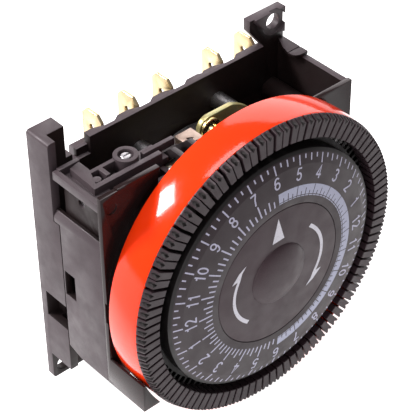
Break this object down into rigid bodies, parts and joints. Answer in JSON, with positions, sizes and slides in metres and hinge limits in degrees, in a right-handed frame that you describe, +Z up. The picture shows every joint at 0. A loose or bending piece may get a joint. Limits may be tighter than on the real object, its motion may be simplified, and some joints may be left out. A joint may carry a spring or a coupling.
{
  "type": "programmable timer",
  "caption": "Square panel-mount day timer whose round drum dial carries sliding tappets that work a switch; blade terminals stand behind its open-topped housing.",
  "frame": {"origin": "on the dial axis, in the back face of the rear plate", "axes": "+Z up, +X to the right of someone who faces the dial, the dial looks along -Y"},
  "size_m": [0.0706, 0.0463, 0.0706],
  "materials": {
    "housing_plastic": "fine moulded texture",
    "panel_plastic": "polished",
    "ring_plastic": "polished",
    "tappet_plastic": "satin",
    "disc_plastic": "fine matt",
    "hub_plastic": "satin",
    "gear_plastic": "natural, slightly waxy",
    "lever_plastic": "satin",
    "terminal_brass": "bright stamped",
    "rivet_brass": "bright turned",
    "chromated_steel": "yellow passivated",
    "steel": "ground",
    "copper_strip": "stamped",
    "silver_contact": "bright",
    "coil_copper": "enamelled winding",
    "rotor_ferrite": "ground ferrite"
  },
  "bodies": {
    "frame": {"rear_base": "housing_plastic", "terminal_block": "housing_plastic", "front_housing": "housing_plastic", "front_panel": "panel_plastic", "switch_base": "housing_plastic", "switch_cover": "housing_plastic", "cover_screw": "steel", "housing_screws": "steel", "plate_screws": "steel", "motor_screws": "steel", "lever_pin": "steel", "lever_spring": "steel", "fixed_contact_upper": "copper_strip", "fixed_contact_lower": "copper_strip", "fixed_contacts": "silver_contact", "mechanism_plate": "chromated_steel", "spacer_posts": "steel", "eyelet_rivet": "rivet_brass", "click_strip": "copper_strip", "motor_can": "steel", "motor_coil": "coil_copper", "intermediate_arbor": "steel", "arbor_clip": "steel", "spindle": "steel", "spindle_clip": "steel", "friction_washer": "steel", "pointer_disc": "disc_plastic", "centre_cap": "disc_plastic", "terminal_1": "terminal_brass", "terminal_2": "terminal_brass", "terminal_3": "terminal_brass", "terminal_4": "terminal_brass", "terminal_5": "terminal_brass"},
    "dial": {"dial_bush": "rivet_brass", "dial_hub": "hub_plastic", "tappet_guide": "hub_plastic", "dial_gear": "gear_plastic", "carrier_ring": "ring_plastic", "scale_disc": "disc_plastic", "tappets": "tappet_plastic"},
    "intermediate": {"intermediate_wheel": "gear_plastic", "intermediate_pinion": "gear_plastic"},
    "motor": {"motor_rotor": "rotor_ferrite", "motor_shaft": "steel", "motor_pinion": "rivet_brass"},
    "switch_lever": {"switch_lever": "lever_plastic"},
    "contact": {"moving_contact_blade": "copper_strip", "moving_contact": "silver_contact"},
    "tappet_0800": {"tappet_0800": "tappet_plastic"},
    "tappet_0815": {"tappet_0815": "tappet_plastic"},
    "tappet_0830": {"tappet_0830": "tappet_plastic"},
    "tappet_0845": {"tappet_0845": "tappet_plastic"},
    "tappet_0900": {"tappet_0900": "tappet_plastic"},
    "tappet_0915": {"tappet_0915": "tappet_plastic"},
    "tappet_0930": {"tappet_0930": "tappet_plastic"},
    "tappet_0945": {"tappet_0945": "tappet_plastic"}
  },
  "joints": [
    {"name": "dial_spin", "type": "hinge", "parent": "frame", "child": "dial", "pos_m": [0, 0, 0], "axis": [0, 1, 0], "continuous": true},
    {"name": "intermediate_spin", "type": "hinge", "parent": "frame", "child": "intermediate", "pos_m": [0.0173, -0.015, -0.00498], "axis": [0, 1, 0], "continuous": true},
    {"name": "motor_spin", "type": "hinge", "parent": "frame", "child": "motor", "pos_m": [0.00517, -0.009, 0.002], "axis": [0, 1, 0], "continuous": true},
    {"name": "lever_pivot", "type": "hinge", "parent": "frame", "child": "switch_lever", "pos_m": [-0.013, -0.0145, 0.0225], "axis": [1, 0, 0], "range_deg": [0, 6], "stiffness_Nm_per_rad": 0.01, "springref_deg": -5.73},
    {"name": "contact_bend", "type": "hinge", "parent": "frame", "child": "contact", "pos_m": [-0.03, -0.0186, 0.01915], "axis": [0, 1, 0], "range_deg": [0, 2.6]},
    {"name": "tappet_0800_slide", "type": "slide", "parent": "dial", "child": "tappet_0800", "axis": [0.531, 0, -0.8474], "range_m": [0, 0.0016]},
    {"name": "tappet_0815_slide", "type": "slide", "parent": "dial", "child": "tappet_0815", "axis": [0.5796, 0, -0.8149], "range_m": [0, 0.0016]},
    {"name": "tappet_0830_slide", "type": "slide", "parent": "dial", "child": "tappet_0830", "axis": [0.6371, 0, -0.7708], "range_m": [0, 0.0016]},
    {"name": "tappet_0845_slide", "type": "slide", "parent": "dial", "child": "tappet_0845", "axis": [0.681, 0, -0.7322], "range_m": [0, 0.0016]},
    {"name": "tappet_0900_slide", "type": "slide", "parent": "dial", "child": "tappet_0900", "axis": [0.7322, 0, -0.681], "range_m": [0, 0.0016]},
    {"name": "tappet_0915_slide", "type": "slide", "parent": "dial", "child": "tappet_0915", "axis": [0.7708, 0, -0.6371], "range_m": [0, 0.0016]},
    {"name": "tappet_0930_slide", "type": "slide", "parent": "dial", "child": "tappet_0930", "axis": [0.8149, 0, -0.5796], "range_m": [0, 0.0016]},
    {"name": "tappet_0945_slide", "type": "slide", "parent": "dial", "child": "tappet_0945", "axis": [0.8474, 0, -0.531], "range_m": [0, 0.0016]}
  ],
  "couplings": [
    {"joint": "intermediate_spin", "follows": "dial_spin", "ratio": -4},
    {"joint": "motor_spin", "follows": "dial_spin", "ratio": 24},
    {"joint": "contact_bend", "follows": "lever_pivot", "ratio": 0.4}
  ]
}
